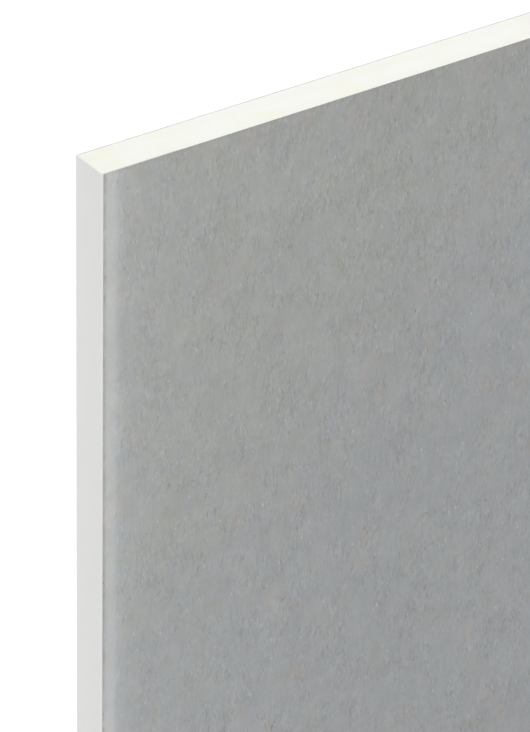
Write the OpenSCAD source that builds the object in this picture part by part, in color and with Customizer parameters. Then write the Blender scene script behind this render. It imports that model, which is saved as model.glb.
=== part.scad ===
// Square-edge drywall sheet, lying flat with its grey back upwards.
// A gypsum core lies between two papers. The pale face paper is underneath, wraps both
// long edges and turns a flap onto the back. The flaps lie in rebates of the core, so that
// the grey back paper runs flat over them and stops just short of the folds.
// X runs across the width, Y along the length and Z upwards.
// The origin is on the floor, under the middle of the sheet.

/* [Sheet] */
// Width over the two paper-bound long edges
sheet_width = 1200; // [300:1:1500]
// Length between the two sawn ends
sheet_length = 2400; // [300:1:3600]
// Thickness over both papers
sheet_thickness = 12.5; // [6:0.5:25]

/* [Face paper] */
// Thickness of the pale face paper
face_paper_thickness = 0.3; // [0.2:0.05:0.35]
// Outer radius of the folds along the long edges
fold_radius = 0.45; // [0.4:0.05:2]
// Width of a flap, from the long edge to its free end on the back
flap_width = 25; // [10:1:60]

/* [Back paper] */
// Thickness of the grey back paper
back_paper_thickness = 0.3; // [0.2:0.05:0.6]
// Strip of flap left bare between a fold and the trimmed back paper
back_paper_setback = 0.1; // [0:0.1:5]

/* [Hidden] */
$fn = 64;
// Height of the wrapped board, without the back paper
wrap_height = sheet_thickness - back_paper_thickness;
// Distance from the middle of the sheet to the centres of the folds
fold_x = sheet_width / 2 - fold_radius;
// Distance from the middle of the sheet to the free end of a flap
flap_end_x = sheet_width / 2 - flap_width;
// Distance from the middle of the sheet to the trimmed edge of the back paper
back_paper_x = fold_x - back_paper_setback;
// Colours of the three materials
gypsum_colour = [0.95, 0.95, 0.91];
face_paper_colour = [0.86, 0.86, 0.85];
back_paper_colour = [0.63, 0.64, 0.63];

// Strip of the section, centred on the sheet and given by its half width and its two heights
module section_strip(half_width, bottom, top) {
    translate([-half_width, bottom]) square([2 * half_width, top - bottom]);
}

// Section of the wrapped board, drawn inside its outer surface by the inset
module wrap_section(inset) {
    section_strip(fold_x, inset, wrap_height - inset);
    section_strip(sheet_width / 2 - inset, fold_radius, wrap_height - fold_radius);
    for (x = [-fold_x, fold_x], height = [fold_radius, wrap_height - fold_radius])
        translate([x, height]) circle(fold_radius - inset);
}

// Section of the core: the inside of the wrap, raised between the flaps to carry the back paper
module core_section() {
    wrap_section(face_paper_thickness);
    section_strip(flap_end_x, fold_radius, wrap_height);
}

// Section of the face paper: the wrap with the core taken out
module face_paper_section() {
    difference() {
        wrap_section(0);
        core_section();
    }
}

// Section of the back paper, which lies on the core and the flaps
module back_paper_section() {
    section_strip(back_paper_x, wrap_height, sheet_thickness);
}

// Runs a section along the whole length of the sheet
module along_sheet() {
    rotate([90, 0, 0]) linear_extrude(sheet_length, center = true) children();
}

module gypsum_core() {
    color(gypsum_colour) along_sheet() core_section();
}

module face_paper() {
    color(face_paper_colour) along_sheet() face_paper_section();
}

module back_paper() {
    color(back_paper_colour) along_sheet() back_paper_section();
}

gypsum_core();
face_paper();
back_paper();
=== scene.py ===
import math

import bmesh
import bpy
from mathutils import Matrix, Vector


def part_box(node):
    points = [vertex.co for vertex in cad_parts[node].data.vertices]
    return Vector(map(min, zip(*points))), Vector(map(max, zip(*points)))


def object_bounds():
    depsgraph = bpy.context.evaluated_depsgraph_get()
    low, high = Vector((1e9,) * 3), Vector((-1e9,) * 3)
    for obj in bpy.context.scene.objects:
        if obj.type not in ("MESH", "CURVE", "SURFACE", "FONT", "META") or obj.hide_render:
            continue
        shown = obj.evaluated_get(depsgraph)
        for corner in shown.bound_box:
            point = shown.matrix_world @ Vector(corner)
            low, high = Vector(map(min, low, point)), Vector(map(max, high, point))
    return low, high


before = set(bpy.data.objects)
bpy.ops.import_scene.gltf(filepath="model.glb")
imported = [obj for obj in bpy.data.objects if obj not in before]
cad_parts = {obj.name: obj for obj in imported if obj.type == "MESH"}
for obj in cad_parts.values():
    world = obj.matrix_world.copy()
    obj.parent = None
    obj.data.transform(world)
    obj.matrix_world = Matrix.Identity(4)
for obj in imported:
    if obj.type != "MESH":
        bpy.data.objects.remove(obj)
cad_low, cad_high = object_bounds()

# Dresses the drywall sheet's three solids as the photograph shows them, and sets up the camera,
# the light and the floor. Lengths are in metres.
MM = 0.001
WHITE = (1.0, 1.0, 1.0, 1.0)

# The sheet's own sizes, read from the solids
sheet_corner = Vector((cad_low.x, cad_high.y, cad_high.z))
core_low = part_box("gypsum_core")[0]
back_low, back_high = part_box("back_paper")

# The photograph's frame, and where the sheet's corner lies in it, in pixels from the top left
PHOTO_WIDTH = 530
PHOTO_HEIGHT = 732
CORNER_RIGHT = 102.35
CORNER_DOWN = 175.20
# The camera stands over the corner, swung out past the long edge and raised past the sawn end,
# and leans a little
VIEW_SWING = math.radians(36.12)
VIEW_RISE = math.radians(31.99)
VIEW_LEAN = math.radians(1.55)
# Size of a pixel in the plane through the corner, from the sheet's thickness
PIXEL_SIZE = 0.2552 * MM
LENS_MM = 200.0
SENSOR_MM = 36.0


def make_camera():
    """Looks at the sheet's corner as the photograph does, with the corner on its pixel."""
    towards_camera = Vector((
        -math.sin(VIEW_SWING) * math.cos(VIEW_RISE),
        math.sin(VIEW_RISE),
        math.cos(VIEW_SWING) * math.cos(VIEW_RISE),
    ))
    along_sheet = Vector((0.0, 1.0, 0.0))
    upright = (along_sheet - along_sheet.dot(towards_camera) * towards_camera).normalized()
    up = Matrix.Rotation(VIEW_LEAN, 3, towards_camera) @ upright
    right = up.cross(towards_camera)
    distance = PIXEL_SIZE * PHOTO_HEIGHT * LENS_MM / SENSOR_MM
    pixels_right = PHOTO_WIDTH / 2 - CORNER_RIGHT
    pixels_down = PHOTO_HEIGHT / 2 - CORNER_DOWN
    aim = sheet_corner + PIXEL_SIZE * (pixels_right * right - pixels_down * up)

    data = bpy.data.cameras.new("photo_camera")
    data.lens = LENS_MM
    data.sensor_width = SENSOR_MM
    data.clip_end = FLOOR_SIZE
    camera = bpy.data.objects.new("photo_camera", data)
    turn = Matrix((right, up, towards_camera)).transposed().to_4x4()
    camera.matrix_world = Matrix.Translation(aim + distance * towards_camera) @ turn
    bpy.context.scene.collection.objects.link(camera)
    bpy.context.scene.camera = camera


def feed(tree, socket, value):
    """Links a socket to another node's output, or sets it to a plain value."""
    if isinstance(value, bpy.types.NodeSocket):
        tree.links.new(value, socket)
    else:
        socket.default_value = value


def add_node(tree, kind, inputs=None, **settings):
    """Adds a node, sets it up and feeds its inputs."""
    node = tree.nodes.new(kind)
    for setting, value in settings.items():
        setattr(node, setting, value)
    for name, value in (inputs or {}).items():
        feed(tree, node.inputs[name], value)
    return node


def white_where_seen(tree, lit, white, share=1.0):
    """Mixes a share of white into what the eye meets, and leaves the light that falls on the sheet."""
    rays = add_node(tree, "ShaderNodeLightPath").outputs
    seen = rays["Is Camera Ray"]
    for kind in ("Is Glossy Ray", "Is Transmission Ray"):
        seen = add_node(tree, "ShaderNodeMath", {0: seen, 1: rays[kind]}, operation="MAXIMUM").outputs[0]
    seen = add_node(tree, "ShaderNodeMath", {0: seen, 1: share}, operation="MULTIPLY").outputs[0]
    return add_node(tree, "ShaderNodeMixShader", {0: seen, 1: lit, 2: white}).outputs["Shader"]


# Light: a plain white surround and one broad soft lamp, over the sheet's corner
SKY_STRENGTH = 0.55
LAMP_STRENGTH = 1.66
LAMP_DIRECTION = Vector((-0.30, 0.44, 0.85)).normalized()
LAMP_SPREAD = math.radians(40)


def make_light():
    """Lights the sheet so that a colour renders about as it is written."""
    lamp = bpy.data.lights.new("soft_lamp", "SUN")
    lamp.energy = LAMP_STRENGTH
    lamp.angle = LAMP_SPREAD
    lamp_object = bpy.data.objects.new("soft_lamp", lamp)
    lamp_object.rotation_mode = "QUATERNION"
    lamp_object.rotation_quaternion = LAMP_DIRECTION.to_track_quat("Z", "Y")
    bpy.context.scene.collection.objects.link(lamp_object)

    world = bpy.data.worlds.new("white_surround")
    bpy.context.scene.world = world
    world.use_nodes = True
    tree = world.node_tree
    tree.nodes.clear()
    sky = add_node(tree, "ShaderNodeBackground", {"Color": WHITE, "Strength": SKY_STRENGTH})
    backdrop = add_node(tree, "ShaderNodeBackground", {"Color": WHITE, "Strength": 1.0})
    surround = white_where_seen(tree, sky.outputs["Background"], backdrop.outputs["Background"])
    add_node(tree, "ShaderNodeOutputWorld", {"Surface": surround})


# The floor is so wide that its rim fades into the white surround
FLOOR_SIZE = 120.0
# The floor lies a hair below the sheet, so that the two surfaces don't mix
FLOOR_DROP = 0.05 * MM
# Share of the floor's white that the sheet's shadow doesn't darken
FLOOR_GLOW = 0.2
# That share is a little over white, so that the floor stays white up to the picture's rim
FLOOR_GLOW_STRENGTH = 1.3


def make_floor():
    """A plain white floor, which keeps the sheet's shadow."""
    mesh = bpy.data.meshes.new("floor")
    shape = bmesh.new()
    bmesh.ops.create_grid(shape, x_segments=1, y_segments=1, size=FLOOR_SIZE / 2)
    bmesh.ops.translate(shape, verts=shape.verts, vec=(0.0, 0.0, cad_low.z - FLOOR_DROP))
    shape.to_mesh(mesh)
    shape.free()
    floor = bpy.data.objects.new("floor", mesh)
    bpy.context.scene.collection.objects.link(floor)

    material = bpy.data.materials.new("white_floor")
    material.use_nodes = True
    tree = material.node_tree
    tree.nodes.clear()
    matt = add_node(tree, "ShaderNodeBsdfDiffuse", {"Color": WHITE})
    glow = add_node(tree, "ShaderNodeEmission", {"Color": WHITE, "Strength": FLOOR_GLOW_STRENGTH})
    surface = white_where_seen(tree, matt.outputs["BSDF"], glow.outputs["Emission"], FLOOR_GLOW)
    add_node(tree, "ShaderNodeOutputMaterial", {"Surface": surface})
    mesh.materials.append(material)


# Each layer of a finish starts this much further on, so that no two layers run alike
LAYER_STEP = Vector((0.31, 0.57, 0.0))
# A speck's smallest radius and faintest strength, and where its soft rim begins, as shares
SPECK_SMALLEST = 0.5
SPECK_FAINTEST = 0.4
SPECK_RIM = 0.55


class Finish:
    """A material in the making. Each method adds nodes and gives what they put out."""

    def __init__(self, name):
        self.material = bpy.data.materials.new(name)
        self.material.use_nodes = True
        self.tree = self.material.node_tree
        self.place = self.add("ShaderNodeTexCoord").outputs["Object"]
        self.layers = 0

    def add(self, kind, inputs=None, **settings):
        """Adds a node to this material."""
        return add_node(self.tree, kind, inputs, **settings)

    def layer(self, size, turn):
        """The place on the sheet, counted in steps of a size, for one more layer of the finish."""
        self.layers += 1
        inputs = {
            "Vector": self.place,
            "Location": self.layers * LAYER_STEP,
            "Rotation": (0.0, 0.0, turn),
            "Scale": size,
        }
        return self.add("ShaderNodeMapping", inputs, vector_type="TEXTURE").outputs["Vector"]

    def noise(self, size, turn=0.0, detail=2.0, roughness=0.5, distortion=0.0):
        """Cloudy noise around one half, with features of about a size."""
        inputs = {
            "Vector": self.layer(size, turn),
            "Scale": 1.0,
            "Detail": detail,
            "Roughness": roughness,
            "Distortion": distortion,
        }
        return self.add("ShaderNodeTexNoise", inputs).outputs["Fac"]

    def specks(self, spacing, radius, share, turn=0.0):
        """Up to one in scattered specks and zero between them; a share of the places has a speck."""
        inputs = {"Vector": self.layer((*spacing, 1.0), turn), "Scale": 1.0}
        cells = self.add("ShaderNodeTexVoronoi", inputs, voronoi_dimensions="2D").outputs
        draws = self.add("ShaderNodeSeparateColor", {"Color": cells["Color"]}).outputs
        size = self.spread(draws["Green"], (0.0, 1.0), (SPECK_SMALLEST * radius, radius))
        from_centre = self.math("DIVIDE", cells["Distance"], size)
        spot = self.spread(from_centre, (SPECK_RIM, 1.0), (1.0, 0.0), smooth=True)
        strength = self.spread(draws["Blue"], (0.0, 1.0), (SPECK_FAINTEST, 1.0))
        chosen = self.math("LESS_THAN", draws["Red"], share)
        return self.math("MULTIPLY", self.math("MULTIPLY", spot, strength), chosen)

    def math(self, operation, *values):
        """One arithmetic step."""
        return self.add("ShaderNodeMath", dict(enumerate(values)), operation=operation).outputs["Value"]

    def spread(self, value, span, result=(0.0, 1.0), smooth=False):
        """Maps a value from a span to a result, and holds it at the ends."""
        inputs = {
            "Value": value,
            "From Min": span[0],
            "From Max": span[1],
            "To Min": result[0],
            "To Max": result[1],
        }
        kind = "SMOOTHSTEP" if smooth else "LINEAR"
        return self.add("ShaderNodeMapRange", inputs, interpolation_type=kind).outputs["Result"]

    def vary(self, level, *parts):
        """A level, raised and lowered by noises around one half, each by its weight."""
        level -= sum(weight for noise, weight in parts) / 2
        for noise, weight in parts:
            level = self.math("MULTIPLY_ADD", noise, weight, level)
        return level

    def axis(self, name):
        """The place along one axis of the sheet."""
        return self.add("ShaderNodeSeparateXYZ", {"Vector": self.place}).outputs[name]

    def inwards(self, name, side):
        """How far in a place lies from the nearer of two opposite sides."""
        return self.math("SUBTRACT", side, self.math("ABSOLUTE", self.axis(name)))

    def profile(self, distance, stops):
        """A level that follows a distance, through stops of distance and level."""
        reach = stops[-1][0]
        node = self.add("ShaderNodeFloatCurve", {"Value": self.math("DIVIDE", distance, reach)})
        node.mapping.extend = "HORIZONTAL"
        points = node.mapping.curves[0].points
        while len(points) < len(stops):
            points.new(1.0, 1.0)
        for point, (along, level) in zip(points, stops):
            point.location = (along / reach, level)
        node.mapping.update()
        return node.outputs["Value"]

    def blend(self, kind, share, first, second):
        """Joins two colours in one of Blender's ways."""
        node = self.add("ShaderNodeMix", data_type="RGBA", blend_type=kind)
        sockets = [socket for socket in node.inputs if socket.enabled]
        for socket, value in zip(sockets, (share, first, second)):
            feed(self.tree, socket, value)
        return next(socket for socket in node.outputs if socket.enabled)

    def mix(self, share, first, second):
        """The first colour, with a share of the second laid over it."""
        return self.blend("MIX", share, first, second)

    def shade(self, colour, level):
        """A colour, made lighter or darker by a level."""
        return self.blend("MULTIPLY", 1.0, colour, level)

    def bump(self, height):
        """Fine relief, from its height in metres."""
        return self.add("ShaderNodeBump", {"Height": height, "Distance": 1.0}).outputs["Normal"]

    def done(self, inputs):
        """Feeds the shader and gives the finished material."""
        shader = self.tree.nodes["Principled BSDF"]
        for name, value in inputs.items():
            feed(self.tree, shader.inputs[name], value)
        return self.material


# Greys of the back paper. The open sheet is bluer than the corners, where the distances from
# the bound edge and the sawn end are short together.
BACK_GREY = (0.532, 0.552, 0.508, 1.0)
BACK_BLUE = (0.533, 0.552, 0.566, 1.0)
BLUE_NOISE = dict(size=(4 * MM, 5 * MM, 5 * MM), detail=1.0)
BLUE_SPAN = (0.25, 0.95)
OPEN_SPAN = (125 * MM, 215 * MM)
OPEN_BLUE = (0.0, 0.38)
# The back paper is bluer beside a bound edge too, by the distance from it
EDGE_BLUE = (
    (0.0 * MM, 0.02),
    (1.5 * MM, 0.06),
    (3.0 * MM, 0.16),
    (9.0 * MM, 0.11),
    (25.0 * MM, 0.0),
)
# Pinker spots, which saw dust joins up beside a sawn end, by the distance from it
BACK_PINK = (0.562, 0.546, 0.530, 1.0)
PINK_NOISE = dict(size=(7 * MM, 8 * MM, 8 * MM), detail=1.0)
PINK_SPAN = (0.61, 0.78)
END_PINK = (
    (0.0 * MM, 0.25),
    (3.0 * MM, 0.21),
    (5.0 * MM, 0.14),
    (8.0 * MM, 0.07),
    (14.0 * MM, 0.0),
)


def back_paper_colour(paper, from_edge, from_end):
    """The grey of the back paper, with its blue and pink casts."""
    from_corner = paper.math("ADD", from_edge, from_end)
    blue = paper.math("ADD", paper.noise(**BLUE_NOISE), paper.spread(from_corner, OPEN_SPAN, OPEN_BLUE))
    blue = paper.math("ADD", blue, paper.profile(from_edge, EDGE_BLUE))
    pink = paper.math("ADD", paper.noise(**PINK_NOISE), paper.profile(from_end, END_PINK))
    colour = paper.mix(paper.spread(blue, BLUE_SPAN), BACK_GREY, BACK_BLUE)
    return paper.mix(paper.spread(pink, PINK_SPAN), colour, BACK_PINK)


# Level of the back paper against the distance from its trimmed edge
BORDER_HIGHLIGHT_LEVELS = (
    # Painted highlight: the light strip over the fold
    (0.0 * MM, 0.93),
    (1.35 * MM, 0.955),
    (2.8 * MM, 0.94),
    (4.2 * MM, 0.86),
    (6.0 * MM, 0.78),
    # The open sheet
    (9.0 * MM, 0.74),
    (16.0 * MM, 0.71),
    (45.0 * MM, 0.668),
    (100.0 * MM, 0.628),
)
# How far the painted highlight strip wavers, and in what lengths
WAVER_WIDTH = 1.4 * MM
WAVER_NOISE = dict(size=(20 * MM, 5 * MM, 20 * MM))
# Level of the back paper against the distance from a sawn end
END_LEVELS = (
    # The sawn edge
    (0.0 * MM, 0.94),
    (0.6 * MM, 0.95),
    # The dusty strip
    (1.2 * MM, 0.98),
    (3.0 * MM, 0.958),
    (6.0 * MM, 0.965),
    # The open sheet
    (15.0 * MM, 0.96),
    (40.0 * MM, 0.952),
    (100.0 * MM, 0.933),
    (135.0 * MM, 0.92),
)
# Shades that drift over the back paper: sizes across, along and through it, and weights
BACK_SHADES = (
    # Clouds and patches of pulp
    (dict(size=(4 * MM, 6 * MM, 6 * MM)), 0.18),
    (dict(size=(11 * MM, 16 * MM, 16 * MM)), 0.14),
    # Bands along the sheet, and its slow drift
    (dict(size=(60 * MM, 4000 * MM, 60 * MM)), 0.05),
    (dict(size=(250 * MM, 500 * MM, 500 * MM)), 0.08),
)


def back_paper_level(paper, from_edge, from_end):
    """How light the back paper is, apart from its fine marks, with the painted highlight over the fold.
    """
    waver = paper.vary(0.0, (paper.noise(**WAVER_NOISE), WAVER_WIDTH))
    # Painted highlight along the bound edges, lighter over the fold
    border_highlight = paper.profile(paper.math("ADD", from_edge, waver), BORDER_HIGHLIGHT_LEVELS)
    level = paper.math("MULTIPLY", border_highlight, paper.profile(from_end, END_LEVELS))
    shades = paper.vary(1.0, *((paper.noise(**shade), weight) for shade, weight in BACK_SHADES))
    return paper.math("MULTIPLY", level, shades)


# Level in the dark line beside the trimmed edge, against the distance from it, and how its
# darkness changes along the sheet
EDGE_LINE_LEVELS = (
    (0.0 * MM, 0.86),
    (0.1 * MM, 0.775),
    (0.25 * MM, 0.765),
    (0.45 * MM, 0.825),
    (0.8 * MM, 0.94),
    (1.35 * MM, 1.0),
)
EDGE_LINE_NOISE = dict(size=(20 * MM, 4 * MM, 20 * MM))
EDGE_LINE_SPAN = (0.3, 0.7)
EDGE_LINE_DARKNESS = (0.2, 1.2)


def back_paper_edge_line(paper, from_edge):
    """A dark line beside the trimmed edge, darker in some places than in others."""
    darkness = paper.spread(paper.noise(**EDGE_LINE_NOISE), EDGE_LINE_SPAN, EDGE_LINE_DARKNESS)
    return paper.math("POWER", paper.profile(from_edge, EDGE_LINE_LEVELS), darkness)


# The fibres of the back paper lie a few degrees off the sheet's length
FIBRE_TURN = math.radians(6)
# Close marks all over the back paper: noises, with the span that shows, and what they add to
# the tone and to the relief
BACK_MARKS = (
    # Fibres
    dict(
        noise=dict(size=(1.1 * MM, 4.4 * MM, 1 * MM), detail=3.0, roughness=0.55, distortion=0.3),
        span=(0.0, 1.0),
        tone=0.05,
        height=0.14 * MM,
    ),
    # Loose lint
    dict(
        noise=dict(size=(0.65 * MM, 2.0 * MM, 1 * MM), detail=1.0),
        span=(0.0, 1.0),
        tone=0.15,
        height=0.01 * MM,
    ),
    # Pressed pulp
    dict(
        noise=dict(size=(1.7 * MM, 4.4 * MM, 2 * MM), roughness=0.55, distortion=0.3),
        span=(0.41, 0.61),
        tone=0.01,
        height=0.10 * MM,
    ),
)
# Half of a mark lies above the paper's own tone and level, and half below
MARK_RANGE = (-0.5, 0.5)
# Single fibres that stand out of the paper or are pressed into it
BACK_STROKES = (
    dict(spacing=(1.7 * MM, 5.0 * MM), radius=0.15, share=0.55, tone=0.17, height=0.04 * MM),
    dict(spacing=(1.8 * MM, 4.8 * MM), radius=0.15, share=0.55, tone=-0.04, height=-0.04 * MM),
    dict(spacing=(2.7 * MM, 6.8 * MM), radius=0.13, share=0.50, tone=0.22, height=0.07 * MM),
    dict(spacing=(2.6 * MM, 7.0 * MM), radius=0.13, share=0.50, tone=-0.04, height=-0.07 * MM),
    dict(spacing=(6.0 * MM, 9.0 * MM), radius=0.10, share=0.45, tone=0.02, height=0.12 * MM),
    dict(spacing=(6.5 * MM, 9.5 * MM), radius=0.10, share=0.45, tone=-0.02, height=-0.12 * MM),
)
# All of them are fainter in calm places, and beside a bound edge by the distance from it
CALM_NOISE = dict(size=(7 * MM, 8 * MM, 8 * MM), detail=1.0)
CALM_SPAN = (0.38, 0.62)
CALM_STRENGTH = (0.64, 1.6)
EDGE_STRENGTH = (
    (0.0 * MM, 0.36),
    (2.5 * MM, 0.40),
    (5.0 * MM, 0.76),
    (20.0 * MM, 0.86),
    (45.0 * MM, 1.0),
)


def back_paper_marks(paper, from_edge):
    """The tone and the relief of the back paper's fibres."""
    strength = paper.spread(paper.noise(**CALM_NOISE), CALM_SPAN, CALM_STRENGTH, smooth=True)
    strength = paper.math("MULTIPLY", strength, paper.profile(from_edge, EDGE_STRENGTH))
    marks = []
    for make in BACK_MARKS:
        noise = paper.noise(turn=FIBRE_TURN, **make["noise"])
        marks.append(paper.spread(noise, make["span"], MARK_RANGE, smooth=True))
    for make in BACK_STROKES:
        marks.append(paper.specks(make["spacing"], make["radius"], make["share"], turn=FIBRE_TURN))
    tone = 1.0
    relief = 0.0
    for mark, make in zip(marks, BACK_MARKS + BACK_STROKES):
        mark = paper.math("MULTIPLY", strength, mark)
        tone = paper.math("MULTIPLY_ADD", mark, make["tone"], tone)
        relief = paper.math("MULTIPLY_ADD", mark, make["height"], relief)
    return tone, relief


# Specks of bark and of lighter pulp in the back paper, with their weights
BARK_COLOUR = (0.24, 0.24, 0.235, 1.0)
BARK_SPECKS = dict(spacing=(9 * MM, 12 * MM), radius=0.05, share=0.5)
BARK_WEIGHT = 0.6
PULP_COLOUR = (0.48, 0.49, 0.475, 1.0)
PULP_SPECKS = dict(spacing=(8 * MM, 13 * MM), radius=0.045, share=0.5)
PULP_WEIGHT = 0.8
# How rough and shiny the back paper is
BACK_ROUGHNESS = 0.88
BACK_ROUGHNESS_NOISE = dict(size=(1 * MM, 4 * MM, 1 * MM))
BACK_ROUGHNESS_CHANGE = 0.2
BACK_SHINE = 0.2


def back_paper_finish():
    """Grey fibrous paper with specks, and a dark line and a painted highlight strip along the bound
    edges.
    """
    paper = Finish("grey_back_paper")
    from_edge = paper.inwards("X", back_high.x)
    from_end = paper.inwards("Y", back_high.y)
    tone, relief = back_paper_marks(paper, from_edge)
    level = paper.math("MULTIPLY", tone, back_paper_level(paper, from_edge, from_end))
    colour = paper.shade(back_paper_colour(paper, from_edge, from_end), level)
    bark = paper.math("MULTIPLY", paper.specks(**BARK_SPECKS), BARK_WEIGHT)
    pulp = paper.math("MULTIPLY", paper.specks(**PULP_SPECKS), PULP_WEIGHT)
    colour = paper.mix(bark, colour, BARK_COLOUR)
    colour = paper.mix(pulp, colour, PULP_COLOUR)
    roughness = paper.vary(BACK_ROUGHNESS, (paper.noise(**BACK_ROUGHNESS_NOISE), BACK_ROUGHNESS_CHANGE))
    # Darker in a thin line beside the trimmed edge
    colour = paper.shade(colour, back_paper_edge_line(paper, from_edge))
    return paper.done({
        "Base Color": colour,
        "Roughness": roughness,
        "Normal": paper.bump(relief),
        "Specular IOR Level": BACK_SHINE,
    })


# White of the face paper, and how its fibres and shades change it
FACE_WHITE = (0.754, 0.754, 0.739, 1.0)
FACE_FIBRES = dict(size=(0.8 * MM, 2.5 * MM, 0.8 * MM), detail=3.0, roughness=0.6)
FACE_FIBRE_TONE = 0.03
FACE_FIBRE_HEIGHT = 0.03 * MM
FACE_SHADES = (
    (dict(size=(8 * MM, 25 * MM, 8 * MM)), 0.02),
    (dict(size=(250 * MM, 500 * MM, 500 * MM)), 0.03),
)
# The fold under the back paper is darkened a little, a painted shade that tones down its highlight
FOLD_SHADE_HEIGHT = 0.5 * MM
FOLD_SHADE_LEVEL = 0.92
# Under the core, the saw leaves the cut through the paper grey, in some places more than in others
SAWN_GREY = (0.50, 0.495, 0.48, 1.0)
SAWN_DEPTH = 0.02 * MM
SAWN_NOISE = dict(size=(5 * MM, 5 * MM, 5 * MM), detail=3.0)
SAWN_SPAN = (0.3, 0.62)
SAWN_SHARE = (0.25, 1.0)
# How rough and shiny the face paper is
FACE_ROUGHNESS = 0.7
FACE_ROUGHNESS_CHANGE = 0.15
FACE_SHINE = 0.25


def face_paper_finish():
    """Smooth pale paper with painted shade on the fold, grey where the saw cut through it."""
    paper = Finish("pale_face_paper")
    fibres = paper.noise(**FACE_FIBRES)
    shades = ((paper.noise(**shade), weight) for shade, weight in FACE_SHADES)
    tone = paper.vary(1.0, (fibres, FACE_FIBRE_TONE), *shades)
    height = paper.axis("Z")
    # Painted shade on the fold under the back paper
    fold_shade = paper.spread(height, (back_low.z - FOLD_SHADE_HEIGHT, back_low.z), (1.0, FOLD_SHADE_LEVEL))
    colour = paper.shade(FACE_WHITE, paper.math("MULTIPLY", tone, fold_shade))
    sawn = paper.math("LESS_THAN", paper.inwards("Y", cad_high.y), SAWN_DEPTH)
    under_core = paper.math("LESS_THAN", height, core_low.z)
    greyed = paper.spread(paper.noise(**SAWN_NOISE), SAWN_SPAN, SAWN_SHARE)
    greyed = paper.math("MULTIPLY", greyed, paper.math("MULTIPLY", sawn, under_core))
    colour = paper.mix(greyed, colour, SAWN_GREY)
    return paper.done({
        "Base Color": colour,
        "Roughness": paper.vary(FACE_ROUGHNESS, (fibres, FACE_ROUGHNESS_CHANGE)),
        "Normal": paper.bump(paper.math("MULTIPLY", fibres, FACE_FIBRE_HEIGHT)),
        "Specular IOR Level": FACE_SHINE,
    })


# Cream of the gypsum, with yellow mottles and fine pores
GYPSUM_CREAM = (0.900, 0.907, 0.866, 1.0)
GYPSUM_YELLOW = (0.893, 0.893, 0.808, 1.0)
MOTTLE_NOISE = dict(size=(11 * MM, 11 * MM, 8 * MM), distortion=0.5)
MOTTLE_SPAN = (0.42, 0.68)
PORE_NOISE = dict(size=(0.6 * MM, 0.6 * MM, 0.6 * MM), detail=3.0, roughness=0.6)
PORE_TONE = 0.02
PORE_HEIGHT = 0.05 * MM
# Level of the gypsum against the height over the face paper: it is denser, and darker, beside
# the papers
SKIN_LEVELS = (
    (0.0 * MM, 0.94),
    (0.6 * MM, 0.965),
    (3.0 * MM, 0.98),
    (6.0 * MM, 1.0),
    (12.0 * MM, 0.99),
)
# How rough and shiny the gypsum is
GYPSUM_ROUGHNESS = 0.92
GYPSUM_ROUGHNESS_CHANGE = 0.1
GYPSUM_SHINE = 0.1


def gypsum_finish():
    """Cream gypsum with faint yellow mottles and fine pores, darker beside the papers."""
    gypsum = Finish("cream_gypsum")
    mottles = gypsum.spread(gypsum.noise(**MOTTLE_NOISE), MOTTLE_SPAN)
    pores = gypsum.noise(**PORE_NOISE)
    colour = gypsum.mix(mottles, GYPSUM_CREAM, GYPSUM_YELLOW)
    height = gypsum.math("SUBTRACT", gypsum.axis("Z"), core_low.z)
    skin = gypsum.profile(height, SKIN_LEVELS)
    tone = gypsum.math("MULTIPLY", gypsum.vary(1.0, (pores, PORE_TONE)), skin)
    colour = gypsum.shade(colour, tone)
    return gypsum.done({
        "Base Color": colour,
        "Roughness": gypsum.vary(GYPSUM_ROUGHNESS, (pores, GYPSUM_ROUGHNESS_CHANGE)),
        "Normal": gypsum.bump(gypsum.math("MULTIPLY", pores, PORE_HEIGHT)),
        "Specular IOR Level": GYPSUM_SHINE,
    })


def dress(node, material):
    """Gives a solid of the frame its finish."""
    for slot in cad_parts[node].material_slots:
        slot.material = material


bpy.context.scene.view_settings.view_transform = "Standard"
make_camera()
make_light()
make_floor()
dress("gypsum_core", gypsum_finish())
dress("face_paper", face_paper_finish())
dress("back_paper", back_paper_finish())
